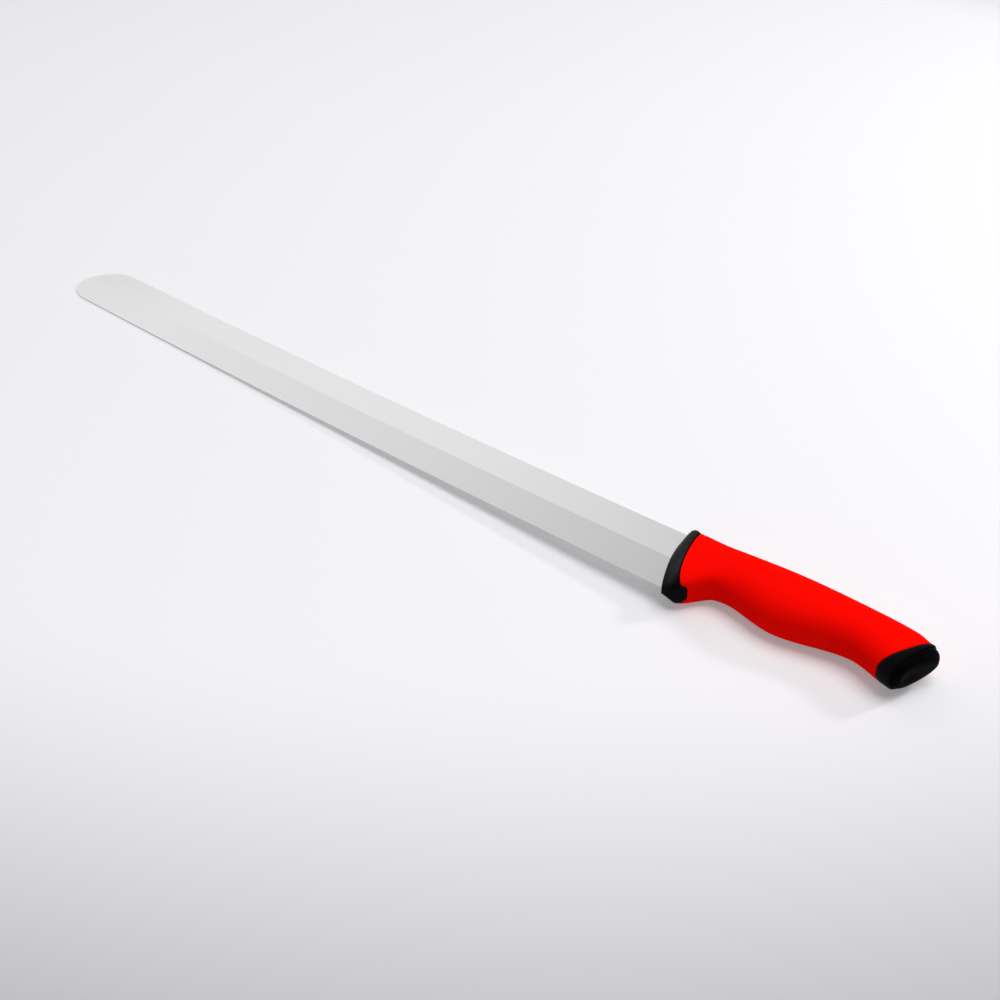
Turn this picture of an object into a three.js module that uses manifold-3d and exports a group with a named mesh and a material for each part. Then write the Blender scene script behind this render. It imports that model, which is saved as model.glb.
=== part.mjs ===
// Doner kebab knife: a long, flat, round-nosed slicing blade in a two-material handle.
// The blade and its tang are one plate of steel. A hard black core is moulded round the tang and
// shows as the collar and the butt. A soft red grip covers the core between them, and an oval plug
// closes the core's end.
// Millimetres. The knife lies on its side: X runs from the tip to the butt, Y from the cutting
// edge to the spine, and Z up through the thickness. Sizes are set out from the heel, where the
// cutting edge meets the collar, and the whole knife is then moved to its resting origin.
import * as THREE from "three";
import { mergeVertices } from "three/addons/utils/BufferGeometryUtils.js";
import Module from "manifold-3d";

const wasm = await Module();
wasm.setup();

// Blade: edge length from the heel to the tip, widths at the heel and at the tip.
const bladeLength = 500;
const heelWidth = 44;
const tipWidth = 40;
const bladeThickness = 1.8;
const edgeThickness = 0.4;
const bladeSag = 2.4; // how far the middle of the thin blade bends down as the knife lies, 0 for flat
const grindHeight = 22; // from the cutting edge up to the grind line, at the heel
const tipGrindHeight = 20;
const noseLength = 22; // the rounded end, measured back from the tip
const noseCrown = 16; // height of the foremost point of the nose above the cutting edge
const bladeSteps = 20;
const noseSteps = 10;

// Tang: the narrow tail of the blade inside the handle, with holes that the core fills.
const shoulderDepth = 3; // how far the full width of the blade runs into the collar
const shoulderTaper = 4; // along X, from the full width to the tang
const tangEnd = 98;
const tangWidth = 15;
const tangCentre = 9; // above the middle of the blade
const tangHoleRadius = 4;
const tangHolePitch = 28;
const firstTangHole = 26;
const holeFacets = 20;

// Handle: where its sections are set out along X.
const collarX = -8;
const guardX = 8;
const recessX = 20;
const palmX = 55.5;
const waistX = 92;
const flareX = 113;
const buttX = 121.5;

// Spine side of the handle, above the middle of the blade.
const collarWall = 1; // plastic over the spine and under the cutting edge of the blade
const spineAtCollar = heelWidth / 2 + collarWall;
const spineAtGuard = 22.8;
const spineAtRecess = 22.8;
const spineAtPalm = 25.2;
const spineAtWaist = 25.4;
const spineAtFlare = 24.6;
const spineAtButt = 21.4;

// Belly side of the handle, below the middle of the blade where negative.
const bellyAtCollar = -heelWidth / 2 - collarWall;
const bellyAtGuard = bellyAtCollar;
const bellyAtRecess = -8.2;
const bellyAtPalm = -12;
const bellyAtWaist = -3.9;
const bellyAtFlare = -9.6;
const bellyAtButt = -11.3;

// Half thickness of the handle.
const collarHalf = 8;
const guardHalf = 8.3;
const recessHalf = 9;
const palmHalf = 10.7;
const waistHalf = 9.6;
const flareHalf = 9.2;
const buttHalf = 9.3;

// Squareness of the sections: 2 is an ellipse, more is boxier.
const mouthSquareness = 8;
const guardSquareness = 3;
const gripSquareness = 2.6;

// Lines across the handle: X at the two ends' mean, how far the spine end leans from it, and how
// far the middle bows towards the blade.
const mouthX = -7.4; // front edge of the collar
const mouthLean = -8.2;
const mouthBow = 3.4;
const gripFrontX = 1; // front edge of the red grip
const gripFrontLean = -9.2;
const gripFrontBow = 2.9;
const lobeLength = 1.8; // how far the black guard lobe reaches back under the grip
const lobeStart = 0.93; // where the lobe begins, as a share of the belly's half height
const gripRearX = 115.8; // rear edge of the red grip, which bows towards the butt
const gripRearLean = 6.4;
const gripRearBow = -1.2;
const endX = 120.6; // rim at the end of the butt
const endLean = 3.2;
const endFillet = 1.2;

// Walls and fits.
const lipWall = 1; // plastic over the blade at the collar's front edge
const gripWall = 3;
const fitGap = 0.3; // between pieces that are moulded or pressed together
const rimWidth = 0.3; // butt rim round the plug
const headDepth = 0.9; // shallow seat of the plug's oval head
const pocketDepth = 7;
const spigotStep = 3.5; // the plug's spigot is drawn in from its head by this much
const plugStep = 0.2; // the edge of the head below the rim
const plugDome = 4.2; // the plug's crown above its edge
const plugShoulder = 4.6; // width of the rounded shoulder of the dome

const sectionPoints = 42;
const gripRings = 30;
const coreRings = 18;
const collarRings = 5;
const filletRings = 3;
const domeRings = 4;
const mergeDistance = 1e-4;

const STEEL = 0xcfd2d4;
const BLACK = 0x17181b;
const RED = 0xe81205;

// A smooth value along X through hand-set stations.
function along(stations, x) {
  const last = stations.length - 1;
  let i = 0;
  while (i < last - 1 && x > stations[i + 1][0]) i += 1;
  const slope = (k) => {
    const a = stations[Math.max(k - 1, 0)];
    const b = stations[Math.min(k + 1, last)];
    return (b[1] - a[1]) / (b[0] - a[0]);
  };
  const [x0, y0] = stations[i];
  const [x1, y1] = stations[i + 1];
  const span = x1 - x0;
  const t = THREE.MathUtils.clamp((x - x0) / span, 0, 1);
  const ease = t * t * (3 - 2 * t);
  const lead = t * (1 - t) * (1 - t) * span * slope(i);
  const trail = t * t * (1 - t) * span * slope(i + 1);
  return y0 + (y1 - y0) * ease + lead - trail;
}

const spineSide = (x) =>
  along(
    [
      [collarX, spineAtCollar],
      [guardX, spineAtGuard],
      [recessX, spineAtRecess],
      [palmX, spineAtPalm],
      [waistX, spineAtWaist],
      [flareX, spineAtFlare],
      [buttX, spineAtButt],
    ],
    x,
  );
const bellySide = (x) =>
  along(
    [
      [collarX, bellyAtCollar],
      [guardX, bellyAtGuard],
      [recessX, bellyAtRecess],
      [palmX, bellyAtPalm],
      [waistX, bellyAtWaist],
      [flareX, bellyAtFlare],
      [buttX, bellyAtButt],
    ],
    x,
  );
const halfThickness = (x) =>
  along(
    [
      [collarX, collarHalf],
      [guardX, guardHalf],
      [recessX, recessHalf],
      [palmX, palmHalf],
      [waistX, waistHalf],
      [flareX, flareHalf],
      [buttX, buttHalf],
    ],
    x,
  );
const squareness = (x) =>
  THREE.MathUtils.lerp(guardSquareness, gripSquareness, THREE.MathUtils.smoothstep(x, guardX, palmX));

// The lines across the handle, as X for a height from 1 at the spine to -1 at the belly.
const bowed = (x, lean, bow, h) => x + lean * h - bow * (1 - h * h);
const mouthLine = (h) => bowed(mouthX, mouthLean, mouthBow, h);
const gripFrontLine = (h) => {
  const lobe = THREE.MathUtils.smoothstep(-h, lobeStart, 1);
  return bowed(gripFrontX, gripFrontLean, gripFrontBow, h) + lobeLength * lobe;
};
const gripRearLine = (h) => bowed(gripRearX, gripRearLean, gripRearBow, h);
const endLine = (h) => endX + endLean * h;

// A section of the handle: X from a line across it, the outline drawn in by inset, and the
// thickness set by flatness, from 1 for the full handle to 0 for the thin lip at the mouth. In front
// of straightX the outline stays as it is there.
function section(line, { inset = 0, flatness = 1, square = squareness(line(0)), straightX = collarX } = {}) {
  const lipHalf = bladeThickness / 2 + fitGap + lipWall;
  return Array.from({ length: sectionPoints }, (_, i) => {
    const turn = (2 * Math.PI * i) / sectionPoints;
    const power = 2 / square;
    const h = Math.sign(Math.cos(turn)) * Math.abs(Math.cos(turn)) ** power;
    const v = Math.sign(Math.sin(turn)) * Math.abs(Math.sin(turn)) ** power;
    const x = line(h);
    const shapeX = Math.max(x, straightX);
    const top = spineSide(shapeX) - inset;
    const bottom = bellySide(shapeX) + inset;
    const thick = THREE.MathUtils.lerp(lipHalf, halfThickness(shapeX), flatness) - inset;
    return new THREE.Vector3(x, (top + bottom) / 2 + ((top - bottom) / 2) * h, thick * v);
  });
}

// Joins rings of points into one closed body, with end caps or as a closed loop of rings. A loop's
// faces are split the other way, so that a sleeve's inside lies along the piece that it covers.
function loft(rings, looped = false) {
  const count = rings[0].length;
  const points = rings.flat();
  const faces = [];
  const bands = looped ? rings.length : rings.length - 1;
  for (let r = 0; r < bands; r += 1) {
    const next = (r + 1) % rings.length;
    for (let i = 0; i < count; i += 1) {
      const j = (i + 1) % count;
      const here = [r * count + i, r * count + j];
      const there = [next * count + i, next * count + j];
      if (looped) {
        faces.push(here[0], here[1], there[1]);
        faces.push(here[0], there[1], there[0]);
      } else {
        faces.push(here[0], here[1], there[0]);
        faces.push(here[1], there[1], there[0]);
      }
    }
  }
  const cap = (r, forward) => {
    const centre = new THREE.Vector3();
    rings[r].forEach((p) => centre.addScaledVector(p, 1 / count));
    points.push(centre);
    for (let i = 0; i < count; i += 1) {
      const edge = [r * count + i, r * count + ((i + 1) % count)];
      faces.push(points.length - 1, ...(forward ? edge : edge.reverse()));
    }
  };
  if (!looped) {
    cap(0, false);
    cap(rings.length - 1, true);
  }
  return new THREE.BufferGeometry().setFromPoints(points).setIndex(faces);
}

// A closed geometry as a solid for cutting, and back.
function solidOf(geometry) {
  const bare = geometry.clone();
  bare.deleteAttribute("normal");
  bare.deleteAttribute("uv");
  const merged = mergeVertices(bare, mergeDistance);
  return new wasm.Manifold(
    new wasm.Mesh({
      numProp: 3,
      vertProperties: merged.attributes.position.array,
      triVerts: new Uint32Array(merged.index.array),
    }),
  );
}
function geometryOf(solid) {
  const mesh = solid.getMesh();
  return new THREE.BufferGeometry()
    .setAttribute("position", new THREE.BufferAttribute(mesh.vertProperties, 3))
    .setIndex(new THREE.BufferAttribute(mesh.triVerts, 1));
}

// Blade outline: the cutting edge and the spine taper towards the tip, and the plate sags.
const share = (x) => THREE.MathUtils.clamp(-x / bladeLength, 0, 1);
const sag = (x) => -4 * bladeSag * share(x) * (1 - share(x));
const edgeY = (x) => -THREE.MathUtils.lerp(heelWidth, tipWidth, share(x)) / 2;
const backY = (x) => -edgeY(x);
const grindY = (x) => edgeY(x) + THREE.MathUtils.lerp(grindHeight, tipGrindHeight, share(x));

// A section of the plate across a line, from the spine over the upper side to the edge and back:
// flat down to the grind line, then ground thin to the edge. It is drawn larger by grow.
function plateSection(line, low, grind, high, edge, grow) {
  const side = [
    [high + grow, bladeThickness / 2 + grow],
    [grind, bladeThickness / 2 + grow],
    [low - grow, edge / 2 + grow],
  ];
  const under = side.map(([y, z]) => [y, -z]).reverse();
  return [...side, ...under].map(([y, z]) => new THREE.Vector3(line(y), y, z + sag(line(y))));
}

// The round nose is a quarter ellipse below its foremost point and another above it.
function noseSections(grow) {
  const noseX = noseLength - bladeLength;
  const crownY = edgeY(-bladeLength) + noseCrown;
  return Array.from({ length: noseSteps }, (_, i) => {
    const turn = (Math.PI * (i + 0.5)) / (2 * noseSteps);
    const rise = Math.sin(turn);
    const x = noseX - (noseLength + grow) * Math.cos(turn);
    return plateSection(
      () => x,
      THREE.MathUtils.lerp(crownY, edgeY(noseX), rise),
      THREE.MathUtils.lerp(crownY, grindY(noseX), rise),
      THREE.MathUtils.lerp(crownY, backY(noseX), rise),
      edgeThickness,
      grow,
    );
  });
}

// The steel plate with its tang, or, drawn larger by grow, the space that it takes in the core.
function bladePlate(grow) {
  const noseX = noseLength - bladeLength;
  const shoulder = (y) => mouthLine((2 * y) / heelWidth) + shoulderDepth + grow;
  const body = Array.from({ length: bladeSteps + 1 }, (_, i) => {
    const way = i / bladeSteps;
    const line = (y) => THREE.MathUtils.lerp(noseX, shoulder(y), way);
    const x = line(0);
    return plateSection(line, edgeY(x), grindY(x), backY(x), edgeThickness, grow);
  });
  const tangLow = tangCentre - tangWidth / 2;
  const tangHigh = tangCentre + tangWidth / 2;
  const tang = [(y) => shoulder(y) + shoulderTaper, () => tangEnd + grow].map((line) =>
    plateSection(line, tangLow, tangCentre, tangHigh, bladeThickness, grow),
  );
  let solid = solidOf(loft([...noseSections(grow), ...body, ...tang]));
  for (let x = firstTangHole; x + tangHoleRadius < tangEnd; x += tangHolePitch) {
    const radius = tangHoleRadius - grow;
    const hole = wasm.Manifold.cylinder(heelWidth, radius, radius, holeFacets, true);
    solid = solid.subtract(hole.translate([x, tangCentre, 0]));
  }
  return solid;
}

// A line part of the way from one line across the handle to another.
const between = (a, b, s) => (h) => THREE.MathUtils.lerp(a(h), b(h), s);
const shifted = (line, x) => (h) => line(h) + x;
const sines = (count) => Array.from({ length: count + 1 }, (_, i) => Math.sin((Math.PI * i) / (2 * count)));

// Rounded rings from a full section down to an end face, drawn in by the fillet.
const roundedEnd = (line, fillet) =>
  sines(filletRings).map((s) =>
    section(shifted(line, fillet * (s - 1)), { inset: fillet * (1 - Math.sqrt(1 - s * s)) }),
  );

// Core: the collar swells from the lip to the grip, the middle is drawn in under the grip, and the
// butt comes out to the full section again, with a pocket in its end.
function corePiece() {
  const collarEnd = shifted(gripFrontLine, -fitGap);
  const buttStart = shifted(gripRearLine, fitGap);
  const collar = Array.from({ length: collarRings + 1 }, (_, i) => {
    const way = i / collarRings;
    const square = THREE.MathUtils.lerp(mouthSquareness, guardSquareness, way);
    const flatness = Math.sin((Math.PI / 2) * way);
    return section(between(mouthLine, collarEnd, way), { flatness, square });
  });
  const neck = Array.from({ length: coreRings + 1 }, (_, i) =>
    section(between(collarEnd, buttStart, i / coreRings), { inset: gripWall + fitGap, straightX: recessX }),
  );
  const butt = [section(buttStart), ...roundedEnd(endLine, endFillet)];
  const pocketWall = endFillet + rimWidth;
  const pocket = [
    section(endLine, { inset: pocketWall }),
    section(shifted(endLine, -headDepth), { inset: pocketWall }),
    section(shifted(endLine, -headDepth), { inset: pocketWall + spigotStep }),
    section(shifted(endLine, -pocketDepth), { inset: pocketWall + spigotStep }),
  ];
  const body = solidOf(loft([...collar, ...neck, ...butt, ...pocket]));
  return geometryOf(body.subtract(bladePlate(fitGap)));
}

// Grip: a soft sleeve over the drawn-in middle of the core, flush with the collar and the butt.
function gripPiece() {
  const rings = (count, shape) =>
    Array.from({ length: count + 1 }, (_, i) =>
      section(between(gripFrontLine, gripRearLine, i / count), shape),
    );
  const inside = rings(coreRings, { inset: gripWall, straightX: recessX });
  return loft([...rings(gripRings), ...inside.reverse()], true);
}

// Plug: an oval head with a low dome, on a spigot that is pressed into the pocket of the butt.
function plugPiece() {
  const inset = endFillet + rimWidth + fitGap;
  const edge = shifted(endLine, -plugStep);
  const dome = sines(domeRings).map((s) =>
    section(shifted(edge, plugDome * s), { inset: inset + plugShoulder * (1 - Math.sqrt(1 - s * s)) }),
  );
  const seat = shifted(endLine, fitGap - headDepth);
  const spigot = [
    section(shifted(endLine, fitGap - pocketDepth), { inset: inset + spigotStep }),
    section(seat, { inset: inset + spigotStep }),
    section(seat, { inset }),
  ];
  return loft([...spigot, ...dome]);
}

function piece(name, geometry, color, roughness, metalness) {
  const material = new THREE.MeshStandardMaterial({ color, roughness, metalness });
  const mesh = new THREE.Mesh(geometry, material);
  mesh.name = name;
  return mesh;
}

const knife = new THREE.Group();
knife.add(
  piece("blade", geometryOf(bladePlate(0)), STEEL, 0.35, 1),
  piece("handle_core", corePiece(), BLACK, 0.5, 0),
  piece("grip", gripPiece(), RED, 0.6, 0),
  piece("butt_plug", plugPiece(), BLACK, 0.45, 0),
);

// The origin is the middle of the knife's box, at the bottom, where the handle lies on its side.
const box = new THREE.Box3().setFromObject(knife);
const middle = box.getCenter(new THREE.Vector3());
knife.children.forEach((mesh) => mesh.position.set(-middle.x, -middle.y, -box.min.z));

export default knife;
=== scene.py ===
import math
import bpy
import bmesh
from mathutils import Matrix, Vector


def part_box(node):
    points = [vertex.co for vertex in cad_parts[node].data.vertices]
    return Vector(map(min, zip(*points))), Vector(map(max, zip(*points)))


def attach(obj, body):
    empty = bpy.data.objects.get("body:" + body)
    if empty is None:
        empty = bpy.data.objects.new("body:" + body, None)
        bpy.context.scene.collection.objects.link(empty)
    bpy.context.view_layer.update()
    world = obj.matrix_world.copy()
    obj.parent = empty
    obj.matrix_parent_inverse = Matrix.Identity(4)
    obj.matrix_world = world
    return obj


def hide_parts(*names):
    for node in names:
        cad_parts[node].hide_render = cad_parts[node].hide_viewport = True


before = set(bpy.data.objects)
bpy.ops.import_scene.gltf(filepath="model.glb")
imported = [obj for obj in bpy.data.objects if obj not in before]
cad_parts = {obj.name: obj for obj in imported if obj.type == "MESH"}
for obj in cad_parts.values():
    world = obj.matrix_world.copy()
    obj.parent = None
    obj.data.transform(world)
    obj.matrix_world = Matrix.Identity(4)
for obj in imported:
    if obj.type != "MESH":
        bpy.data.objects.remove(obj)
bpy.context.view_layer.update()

# Blade: one long plate of stainless steel with its tang, rolled flat, ground on both sides from the
# middle of its width down to the cutting edge, and rounded at the nose. The finish is a fine satin
# drawn along the length. Painted shade makes the ground faces darker than the flats by the heel and a
# touch lighter at the tip, and darkens the last fifth of the blade towards the nose.
mm = 0.001
blade_length, heel_width, tip_width = 500, 44, 40
blade_thick, edge_thick = 1.8, 0.3
blade_sag = 2.4
heel_grind, tip_grind = 22, 20
nose_length, nose_crown, nose_tip = 21.93, 16, 499.93
mouth_x, mouth_rake, mouth_bow = -7.4, 8.2, 3.4
shoulder_depth, shoulder_taper = 3, 4
tang_end, tang_width, tang_centre = 98, 15, 9
collar_wall = 1
spine_ease = 0.15
edge_start, edge_blunt = 0.96, 0.3
heel_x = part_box("blade")[0][0] + nose_tip * mm
mid_y = (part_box("blade")[0][1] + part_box("blade")[1][1]) / 2
mid_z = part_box("blade")[1][2] - blade_thick / 2 * mm


def at(x, y, z):
    """A point in millimetres from the heel, in the part's own frame."""
    return (heel_x + x * mm, mid_y + y * mm, mid_z + z * mm)


def mix(a, b, t):
    return a + (b - a) * t


def keep(value, low, high):
    return max(low, min(high, value))


def down_blade(x):
    return keep(-x / blade_length, 0, 1)


def sag(x):
    """How far the thin blade hangs down as the knife lies."""
    return -4 * blade_sag * down_blade(x) * (1 - down_blade(x))


def edge_y(x):
    return -mix(heel_width, tip_width, down_blade(x)) / 2


def back_y(x):
    return -edge_y(x)


def grind_y(x):
    return edge_y(x) + mix(heel_grind, tip_grind, down_blade(x))


def half_steel(x, y):
    """Half the blade's thickness at a height: full above the grind line, thin at the edge."""
    rise = keep((y - edge_y(x)) / (grind_y(x) - edge_y(x)), 0, 1)
    return mix(edge_thick, blade_thick, rise) / 2


def mouth(height):
    """Front edge of the collar, as X for a height from 1 at the spine to -1 at the belly."""
    return mouth_x - mouth_rake * height - mouth_bow * (1 - height * height)


def ring_start(name, points):
    """A new piece that begins as one closed ring of points, left open in edit mode."""
    bpy.ops.object.select_all(action="DESELECT")
    bpy.ops.mesh.primitive_circle_add(vertices=len(points), radius=0.01)
    made = bpy.context.object
    made.name = made.data.name = name
    bpy.ops.object.mode_set(mode="EDIT")
    bpy.ops.mesh.select_all(action="SELECT")
    ring_place(points)
    return made


def ring_place(points):
    mesh = bpy.context.object.data
    drawn = bmesh.from_edit_mesh(mesh)
    drawn.verts.ensure_lookup_table()
    for vert, point in zip(drawn.verts[-len(points):], points):
        vert.co = at(*point)
    bmesh.update_edit_mesh(mesh)


def ring_on(points):
    """The last ring is extruded, and the new one takes its place."""
    bpy.ops.mesh.extrude_edges_move()
    ring_place(points)


def ring_close():
    bpy.ops.mesh.edge_face_add()


def ring_done(smooth_angle):
    bpy.ops.mesh.select_all(action="SELECT")
    bpy.ops.mesh.remove_doubles(threshold=1e-6)
    bpy.ops.mesh.normals_make_consistent(inside=False)
    bpy.ops.object.mode_set(mode="OBJECT")
    bpy.ops.object.shade_smooth_by_angle(angle=math.radians(smooth_angle))


def blade_ring(xs, low, grind, high, half):
    """Section of the plate, from the spine down one side, round the edge and up the other."""
    ease = min(spine_ease, (high - grind) / 3)
    mid_flat, mid_ground = mix(high, grind, 0.5), mix(grind, low, 0.5)
    near_edge = mix(grind, low, edge_start)
    side = [
        (high, half(high) - ease),
        (high - ease, half(high)),
        (mid_flat, half(mid_flat)),
        (grind, half(grind)),
        (mid_ground, half(mid_ground)),
        (near_edge, half(near_edge)),
        (low, half(low) * edge_blunt),
    ]
    ring = side + [(y, -z) for y, z in reversed(side)]
    return [(xs(y), y, z + sag(xs(y))) for y, z in ring]


def shoulder(y):
    return mouth(keep(2 * y / heel_width, -1, 1)) + shoulder_depth


def plain(y):
    return blade_thick / 2


tang_low, tang_high = tang_centre - tang_width / 2, tang_centre + tang_width / 2
blade = ring_start("satin_blade", blade_ring(lambda y: tang_end, tang_low, tang_centre, tang_high, plain))
ring_close()
ring_on(blade_ring(lambda y: shoulder(y) + shoulder_taper, tang_low, tang_centre, tang_high, plain))
ring_on(blade_ring(shoulder, edge_y(0), grind_y(0), back_y(0), lambda y: half_steel(0, y)))
nose_x = nose_length - nose_tip
blade_steps = 60
for step in range(1, blade_steps + 1):
    share = step / blade_steps
    x = mix(shoulder(0), nose_x, share)
    ring_on(blade_ring(
        lambda y: mix(shoulder(y), nose_x, share),
        edge_y(x), grind_y(x), back_y(x),
        lambda y: half_steel(x, y),
    ))
crown_y = edge_y(-blade_length) + nose_crown
nose_steps, nose_quarter, nose_rise = 24, 24.3, 0.5
for step in range(1, nose_steps + 1):
    turn = math.pi / 2 * step / nose_quarter
    x = nose_x - nose_length * math.sin(turn)
    low = crown_y - (crown_y - edge_y(nose_x)) * math.cos(turn)
    high = crown_y + (back_y(nose_x) - crown_y) * math.cos(turn)
    ground = mix(grind_y(nose_x), crown_y, 1 - math.cos(turn))
    rise = mix(edge_thick, blade_thick, nose_rise * (1 - math.cos(turn)))
    ring_on(blade_ring(
        lambda y: x,
        low, ground, high,
        lambda y: mix(rise, blade_thick, keep((y - low) / (ground - low), 0, 1)) / 2,
    ))
ring_close()
ring_done(smooth_angle=1.2)


class Wire:
    """A node's output. Arithmetic on it adds Math nodes to the same node tree."""

    def __init__(self, socket):
        self.socket = socket

    def make(self, kind, settings=None, inputs=None, out=0):
        tree = self.socket.id_data
        made = tree.nodes.new(kind)
        for name, value in (settings or {}).items():
            setattr(made, name, value)
        for name, value in (inputs or {}).items():
            if isinstance(value, Wire):
                tree.links.new(value.socket, made.inputs[name])
            else:
                made.inputs[name].default_value = value
        return Wire(made.outputs[out])

    def math(self, operation, first, second):
        return self.make("ShaderNodeMath", {"operation": operation}, {0: first, 1: second})

    def __add__(self, other):
        return self.math("ADD", self, other)

    def __radd__(self, other):
        return self.math("ADD", other, self)

    def __sub__(self, other):
        return self.math("SUBTRACT", self, other)

    def __rsub__(self, other):
        return self.math("SUBTRACT", other, self)

    def __mul__(self, other):
        return self.math("MULTIPLY", self, other)

    def __rmul__(self, other):
        return self.math("MULTIPLY", other, self)

    def axis(self, index):
        return self.make("ShaderNodeSeparateXYZ", {}, {"Vector": self}, index)

    def ease(self, start, end):
        """0 before start and 1 past end, smooth between them."""
        return self.make("ShaderNodeMapRange", {"interpolation_type": "SMOOTHSTEP"},
                         {"Value": self, "From Min": start, "From Max": end})

    def noise(self, scale, detail=3.0):
        """Soft noise on these coordinates, stretched by a scale for each axis."""
        spread = self.make("ShaderNodeVectorMath", {"operation": "MULTIPLY"}, {0: self, 1: scale})
        return self.make("ShaderNodeTexNoise", {}, {"Vector": spread, "Scale": 1.0, "Detail": detail})

    def blend(self, first, second):
        """Two colours mixed by this value."""
        return self.make("ShaderNodeMix", {"data_type": "RGBA"}, {0: self, 6: first, 7: second}, 2)

    def bump(self, distance, strength=1.0):
        return self.make("ShaderNodeBump", {}, {"Height": self, "Distance": distance, "Strength": strength})


def new_finish(name, **constants):
    """A material, the Object coordinates to draw on it with, and its shader for the links."""
    material = bpy.data.materials.new(name)
    material.use_nodes = True
    shader = material.node_tree.nodes["Principled BSDF"]
    for socket, value in constants.items():
        shader.inputs[socket.replace("_", " ")].default_value = value
    place = material.node_tree.nodes.new("ShaderNodeTexCoord").outputs["Object"]
    return material, Wire(place), shader


def feed(shader, **wires):
    for socket, wire in wires.items():
        shader.id_data.links.new(wire.socket, shader.inputs[socket.replace("_", " ")])


def dress(piece, material, slot, *nodes):
    piece.data.materials.clear()
    piece.data.materials.append(material)
    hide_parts(*nodes)
    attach(piece, "root")


steel, place, shader = new_finish("satin_steel", Metallic=1.0)
drawn = place.noise(scale=(18.0, 2600.0, 300.0), detail=4.0)
cloud = place.noise(scale=(9.0, 40.0, 9.0), detail=2.0)
line_blur = 0.0001
ground = place.axis(1).ease(mid_y + line_blur, mid_y - line_blur)
to_tip = (heel_x - place.axis(0)) * (1 / (blade_length * mm))
# Painted shade standing in for reflected light: the ground faces darker by the heel and a touch lighter at
# the tip, and the blade darker towards the nose.
painted_grind_shade = ground * (0.16 - to_tip * 0.19)
painted_tip_shade = to_tip.ease(0.8, 1.0) * 0.06
tone_with_painted_shade = 0.93 + drawn * 0.03 + cloud * 0.06 - painted_grind_shade - painted_tip_shade
feed(
    shader,
    Base_Color=tone_with_painted_shade.blend((0, 0, 0, 1), (0.90, 0.90, 0.895, 1)),
    Roughness=0.26 + drawn * 0.08 + cloud * 0.04 + ground * 0.04,
    Normal=drawn.bump(distance=0.00001, strength=0.25),
)
dress(blade, steel, "blade_steel", "blade")

# Core: hard black nylon moulded round the tang. In front it shows as the collar, which swells from a
# thin lip on the blade and ends in a lobe under the belly; at the back it shows as the butt, with a
# rounded rim round the pocket for the plug. The middle is drawn in under the grip.
spokes = 96
collar_x, guard_x, recess_x, palm_x = -8, 8, 20, 55.5
front_x, front_rake, front_bow = 1.0, 9.2, 2.9
lobe_room, lobe_start = 1.8, 0.94
rear_x, rear_rake, rear_bow = 115.8, 6.4, 1.2
butt_x, butt_rake = 120.6, 3.2
slot_square, lip_square, collar_square, palm_square = 16, 14, 4, 2.6
square_start, square_end = -2, 25
spine_power, side_power, belly_power = 0.4, 0.75, 1.6
lip, lip_round, lip_turn = 1.0, 0.4, 0.12
slot_gap = 0.05
grip_wall, fit_gap = 3, 0.3
end_fillet, rim_width, rim_ease = 0.7, 0.2, 0.15
head_depth, pocket_depth, spigot_step = 0.9, 7, 3.5
part_round, part_share = 0.35, 0.3
at_spine, at_belly, at_side, at_corner = 1, 2, 3, 4
# A station is X, the heights of the spine and the belly, half the thickness, and how boxy the spine is.
stations = [
    (collar_x, heel_width / 2 + collar_wall, -heel_width / 2 - collar_wall, 8.0, 4.2),
    (guard_x, 22.8, -heel_width / 2 - collar_wall, 8.3, 4.2),
    (recess_x, 22.8, -8.2, 9.0, 4.0),
    (palm_x, 25.2, -12, 10.67, 3.2),
    (92, 25.4, -3.9, 9.6, 2.8),
    (113, 24.6, -9.6, 9.2, 2.6),
    (121.5, 21.4, -11.3, 9.3, 2.6),
]


def along(column, x):
    """A smooth value through one column of the stations."""
    last = len(stations) - 1
    i = 0
    while i < last - 1 and x > stations[i + 1][0]:
        i += 1

    def slope(k):
        a, b = stations[max(k - 1, 0)], stations[min(k + 1, last)]
        return (b[column] - a[column]) / (b[0] - a[0])

    (x0, y0), (x1, y1) = [(row[0], row[column]) for row in stations[i:i + 2]]
    span = x1 - x0
    t = keep((x - x0) / span, 0, 1)
    lead = t * (1 - t) * (1 - t) * span * slope(i)
    trail = t * t * (1 - t) * span * slope(i + 1)
    return mix(y0, y1, t * t * (3 - 2 * t)) + lead - trail


def smooth_step(x, low, high):
    t = keep((x - low) / (high - low), 0, 1)
    return t * t * (3 - 2 * t)


def grip_front(height):
    """Front edge of the grip, drawn back under the belly to clear the collar's lobe."""
    room = lobe_room * smooth_step(-height, lobe_start, 1)
    return front_x - front_rake * height - front_bow * (1 - height * height) + room


def grip_rear(height):
    return rear_x + rear_rake * height + rear_bow * (1 - height * height)


def butt_end(height):
    return butt_x + butt_rake * height


def shifted(line, x):
    return lambda height: line(height) + x


def between(a, b, t):
    return lambda height: mix(a(height), b(height), t)


def round_of(turn, square):
    """A point of a unit section: 2 is an ellipse, and more is boxier."""
    height, side = math.cos(turn), math.sin(turn)
    reach = (abs(height) ** square + abs(side) ** square) ** (1 / square)
    return height / reach, side / reach


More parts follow.
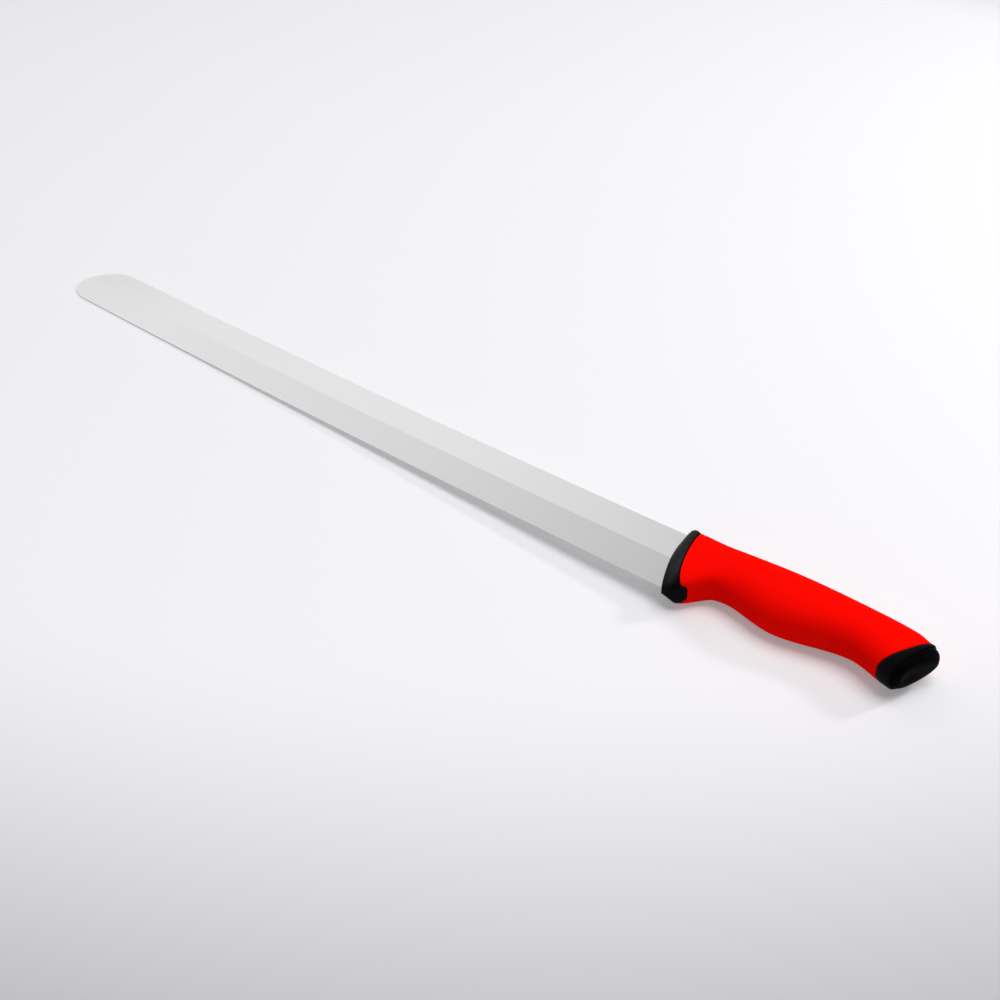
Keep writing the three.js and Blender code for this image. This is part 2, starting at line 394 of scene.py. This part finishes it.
def handle_ring(line, inset=0.0, swell=1.0, square=None, straight_x=collar_x):
    """A section of the handle across a line, drawn in by inset. In the collar it swells from the lip,
    soonest at the spine and last at the belly."""
    square = square or mix(collar_square, palm_square, smooth_step(line(0), square_start, square_end))
    spine_square = max(square, along(at_corner, line(0)))
    lip_half = blade_thick / 2 + fit_gap + lip
    ring = []
    for i in range(spokes):
        turn = 2 * math.pi * i / spokes
        height, side = round_of(turn, spine_square if math.cos(turn) > 0 else square)
        power = mix(side_power, spine_power if height > 0 else belly_power, abs(height))
        x = line(height)
        shape_x = max(x, straight_x)
        top, bottom = along(at_spine, shape_x) - inset, along(at_belly, shape_x) + inset
        thick = mix(lip_half, along(at_side, shape_x), swell ** power) - inset
        ring.append((x, mix(bottom, top, (height + 1) / 2), thick * side))
    return ring


def slot_ring(line, low, high, half):
    """The space of the blade or its tang, as a ring that the core is moulded up to."""
    ring = []
    for i in range(spokes):
        height, side = round_of(2 * math.pi * i / spokes, slot_square)
        y = mix(low - slot_gap, high + slot_gap, (height + 1) / 2)
        x = line(2 * y / heel_width)
        ring.append((x, y, (half(y) + slot_gap) * side + sag(x)))
    return ring


def turned_in(radius, depth):
    """How far a rounded edge has drawn in, at a share of its depth from 0 to 1."""
    return radius * (1 - math.sqrt(1 - depth * depth))


def heel_half(y):
    return half_steel(0, y)


bottom_line = shifted(mouth, shoulder_depth + fit_gap)
slot_end = tang_end + fit_gap
core = ring_start("collar_and_butt", slot_ring(lambda height: slot_end, tang_low, tang_high, plain))
ring_close()
ring_on(slot_ring(shifted(bottom_line, shoulder_taper), tang_low, tang_high, plain))
ring_on(slot_ring(bottom_line, edge_y(0), back_y(0), heel_half))
ring_on(slot_ring(mouth, edge_y(0), back_y(0), heel_half))
ring_on(handle_ring(mouth, inset=lip_round, swell=0, square=lip_square))
ring_on(handle_ring(shifted(mouth, lip_turn), inset=lip_turn, swell=0, square=lip_square))
lip_top = shifted(mouth, lip_round)
ring_on(handle_ring(lip_top, swell=0, square=lip_square))
collar_end = shifted(grip_front, -fit_gap)
collar_top = shifted(collar_end, -part_round)
collar_rings = 12
for step in range(1, collar_rings + 1):
    swell = step / collar_rings
    square = mix(lip_square, collar_square, swell)
    ring_on(handle_ring(between(lip_top, collar_top, swell), swell=swell, square=square))
part_turn = part_round * part_share
ring_on(handle_ring(shifted(collar_end, -part_turn), part_turn))
ring_on(handle_ring(collar_end, part_round))
under = grip_wall + fit_gap
butt_start = shifted(grip_rear, fit_gap)
neck_rings = 24
for step in range(neck_rings + 1):
    ring_on(handle_ring(between(collar_end, butt_start, step / neck_rings), under, straight_x=recess_x))
ring_on(handle_ring(butt_start, part_round))
band_start, band_end = shifted(butt_start, part_turn), shifted(butt_end, -end_fillet)
ring_on(handle_ring(band_start, part_turn))
band_shares = (0.15, 0.4, 0.7)
for share in band_shares:
    ring_on(handle_ring(between(band_start, band_end, share)))
fillet_rings = 5
for step in range(fillet_rings + 1):
    depth = math.sin(math.pi / 2 * step / fillet_rings)
    ring_on(handle_ring(shifted(butt_end, end_fillet * (depth - 1)), turned_in(end_fillet, depth)))
pocket_wall = end_fillet + rim_width
ring_on(handle_ring(butt_end, pocket_wall - rim_ease))
ring_on(handle_ring(shifted(butt_end, -rim_ease), pocket_wall))
ring_on(handle_ring(shifted(butt_end, -head_depth), pocket_wall))
ring_on(handle_ring(shifted(butt_end, -head_depth), pocket_wall + spigot_step))
ring_on(handle_ring(shifted(butt_end, -pocket_depth), pocket_wall + spigot_step))
ring_close()
ring_done(smooth_angle=30)

nylon, place, shader = new_finish("black_nylon", Specular_IOR_Level=0.03)
grain = place.noise(scale=(1900.0, 1900.0, 1900.0), detail=2.0)
cloud = place.noise(scale=(60.0, 60.0, 60.0), detail=2.0)
feed(
    shader,
    Base_Color=(cloud * 0.6 + grain * 0.4).blend((0.001, 0.001, 0.0018, 1), (0.003, 0.003, 0.0045, 1)),
    Roughness=0.28 + grain * 0.10 + cloud * 0.06,
    Normal=grain.bump(distance=0.00004, strength=0.35),
)
dress(core, nylon, "black_plastic", "handle_core")

# Grip: a soft red rubber sleeve moulded over the drawn-in middle of the core, flush with the collar
# and the butt, with a small rounded edge where it meets them. The skin is matte with a fine grain.
edge_round = 0.6
edge_depths = (0.38, 0.7, 0.92)
grip_rings = 72
first_ring = handle_ring(grip_front, edge_round)
grip = ring_start("soft_grip", first_ring)
for depth in reversed(edge_depths):
    ring_on(handle_ring(shifted(grip_front, edge_round * (1 - depth)), turned_in(edge_round, depth)))
skin_start, skin_end = shifted(grip_front, edge_round), shifted(grip_rear, -edge_round)
for step in range(grip_rings + 1):
    ring_on(handle_ring(between(skin_start, skin_end, step / grip_rings)))
for depth in edge_depths:
    ring_on(handle_ring(shifted(grip_rear, edge_round * (depth - 1)), turned_in(edge_round, depth)))
ring_on(handle_ring(grip_rear, edge_round))
for step in range(neck_rings + 1):
    ring_on(handle_ring(between(grip_rear, grip_front, step / neck_rings), grip_wall, straight_x=recess_x))
ring_on(first_ring)
ring_done(smooth_angle=40)

rubber, place, shader = new_finish("red_rubber", Specular_IOR_Level=0.01)
grain = place.noise(scale=(1400.0, 1400.0, 1400.0), detail=2.0)
cloud = place.noise(scale=(35.0, 35.0, 35.0), detail=2.0)
feed(
    shader,
    Base_Color=(cloud * 0.7 + grain * 0.3).blend((0.95, 0.002, 0.0003, 1), (1.0, 0.003, 0.0005, 1)),
    Roughness=0.66 + grain * 0.10 + cloud * 0.05,
    Normal=grain.bump(distance=0.00005, strength=0.4),
)
dress(grip, rubber, "red_grip", "grip")

# Plug: an oval cap of black nylon, pressed into the pocket of the butt a little below its rim, with
# a low dome that turns down in a rounded shoulder. Its grain is shallower than that of the core.
plug_step, plug_dome, plug_shoulder = 0.2, 4.2, 4.9
plug_gap, crown_inset = 0.2, 0.3
plug_inset = pocket_wall + plug_gap
spigot_inset = plug_inset + spigot_step
spigot_end = shifted(butt_end, fit_gap - pocket_depth)
plug_seat = shifted(butt_end, fit_gap - head_depth)
plug = ring_start("domed_plug", handle_ring(spigot_end, spigot_inset))
ring_close()
ring_on(handle_ring(plug_seat, spigot_inset))
ring_on(handle_ring(plug_seat, plug_inset))
dome_rings = 14
for step in range(dome_rings + 1):
    depth = math.sin(math.pi / 2 * step / dome_rings)
    dome_line = shifted(butt_end, plug_dome * depth - plug_step)
    ring_on(handle_ring(dome_line, plug_inset + turned_in(plug_shoulder, depth)))
ring_on(handle_ring(dome_line, plug_inset + plug_shoulder + crown_inset))
ring_close()
ring_done(smooth_angle=30)

cap, place, shader = new_finish("smooth_nylon", Specular_IOR_Level=0.01)
grain = place.noise(scale=(1900.0, 1900.0, 1900.0), detail=2.0)
cloud = place.noise(scale=(90.0, 90.0, 90.0), detail=2.0)
feed(
    shader,
    Base_Color=(cloud * 0.6 + grain * 0.4).blend((0.001, 0.001, 0.0013, 1), (0.002, 0.002, 0.0025, 1)),
    Roughness=0.34 + grain * 0.08 + cloud * 0.06,
    Normal=grain.bump(distance=0.00003, strength=0.3),
)
dress(plug, cap, "black_plug", "butt_plug")

# Floor: a wide pale sheet, tipped by about a degree so that the knife lies on it as it does on a
# table, on the fat of its handle and the end of its blade. A painted pool of light makes it palest
# behind the tip, falling off softly to a painted grey shade; where it is seen it glows a little, which
# lifts the shadow under the knife.
floor_size, floor_cells, floor_drop = 12, 8, 0.0001
painted_pool_middle = at(-450, 350, 0)
painted_pool_start, painted_pool_end, painted_pool_depth = 0.62, 1.0, 0.68
shadow_lift = 0.26
rest_x, rest_z = at(palm_x, 0, 0)[0], 0.0
under_blade = [at(x, 0, sag(x) - blade_thick / 2) for x in range(-blade_length, 0, 5)]
floor_tip = min(math.atan2(z - rest_z, rest_x - x) for x, y, z in under_blade)
bpy.ops.object.select_all(action="DESELECT")
bpy.ops.mesh.primitive_grid_add(x_subdivisions=floor_cells, y_subdivisions=floor_cells, size=floor_size)
floor = bpy.context.object
floor.name = "floor"
bpy.ops.object.mode_set(mode="EDIT")
bpy.ops.mesh.select_all(action="SELECT")
bpy.ops.transform.rotate(value=-floor_tip, orient_axis="Y", center_override=(0, 0, 0))
bpy.ops.transform.translate(value=(rest_x, 0, rest_z - floor_drop))
bpy.ops.object.mode_set(mode="OBJECT")
pale, place, shader = new_finish("pale_floor", Specular_IOR_Level=0.1, Roughness=0.9)
away = place.make(
    "ShaderNodeVectorMath", {"operation": "DISTANCE"}, {0: place, 1: painted_pool_middle}, "Value",
)
cloud = place.noise(scale=(1.2, 1.2, 1.2), detail=2.0)
# Painted light: a pool palest behind the tip, falling off to grey shade away from it.
tone_with_painted_shade = 0.97 + cloud * 0.04 - away.ease(painted_pool_start, painted_pool_end) * painted_pool_depth
feed(shader, Base_Color=tone_with_painted_shade.blend((0, 0, 0, 1), (0.92, 0.91, 0.935, 1)))


def seen_ray(wire):
    """1 for a ray that shows the surroundings, straight from the camera or by gloss or glass."""
    names = ("Is Camera Ray", "Is Glossy Ray", "Is Transmission Ray")
    camera_ray, glossy_ray, through_ray = [wire.make("ShaderNodeLightPath", out=name) for name in names]
    return camera_ray + glossy_ray + through_ray


matte = Wire(shader.outputs[0])
glow = place.make("ShaderNodeEmission", {}, {"Color": tone_with_painted_shade.blend((0, 0, 0, 1), (1.0, 0.99, 1.01, 1))})
sheet = place.make("ShaderNodeMixShader", {}, {0: seen_ray(place) * shadow_lift, 1: matte, 2: glow})
pale.node_tree.links.new(sheet.socket, pale.node_tree.nodes["Material Output"].inputs["Surface"])
floor.data.materials.append(pale)

# Light and camera: a pale room that lights most from behind the spine and from the tip, one very wide
# soft lamp overhead and a small one behind the butt. The camera and the gloss see paler walls in the
# place of that room, and gloss doesn't see the lamps. The camera is off the butt, on the edge's side.
world = bpy.data.worlds.new("white_room")
bpy.context.scene.world = world
world.use_nodes = True
sky = Wire(world.node_tree.nodes.new("ShaderNodeTexCoord").outputs["Generated"])
behind = sky.axis(1).ease(-0.3, 0.3)
wide_left = sky.axis(0).ease(-0.12, -0.40)
left = sky.axis(0).ease(-0.36, -0.64)
far_left = sky.axis(0).ease(-0.55, -0.76)
low = sky.axis(2).ease(0.46, 0.38)
light = 0.15 + behind * (wide_left * 0.38 + left * 0.50 - low * 0.26)
walls = 0.52 + left * 0.56 - low * behind * far_left * 0.34
shown = light + (walls - light) * seen_ray(sky)
bright = shown.blend((0, 0, 0, 1), (1.0, 1.0, 1.02, 1))
world.node_tree.links.new(bright.socket, world.node_tree.nodes["Background"].inputs["Color"])


def soft_lamp(name, spot, target, size, power):
    bpy.ops.object.light_add(type="AREA", location=spot)
    lamp = bpy.context.object
    lamp.name = name
    lamp.data.shape = "DISK"
    lamp.data.size = size
    lamp.data.energy = power
    lamp.visible_glossy = False
    lamp.rotation_euler = (Vector(target) - Vector(spot)).to_track_quat("-Z", "Y").to_euler()


soft_lamp("wide_lamp", (1.0, 0.7, 3.9), (0.1, 0, 0), size=3.6, power=122)
soft_lamp("butt_lamp", (0.83, 1.29, 0.8), (0.3, 0, 0), size=0.25, power=8)

camera_place = at(331.164, -509.653, 438.278)
camera_down, camera_turn = math.radians(33.533), math.radians(41.864)
bpy.ops.object.camera_add(location=camera_place, rotation=(math.radians(90) - camera_down, 0, camera_turn))
camera = bpy.context.object
camera.data.lens = 54
camera.data.sensor_width = 36
bpy.context.scene.camera = camera
bpy.context.scene.view_settings.view_transform = "Standard"
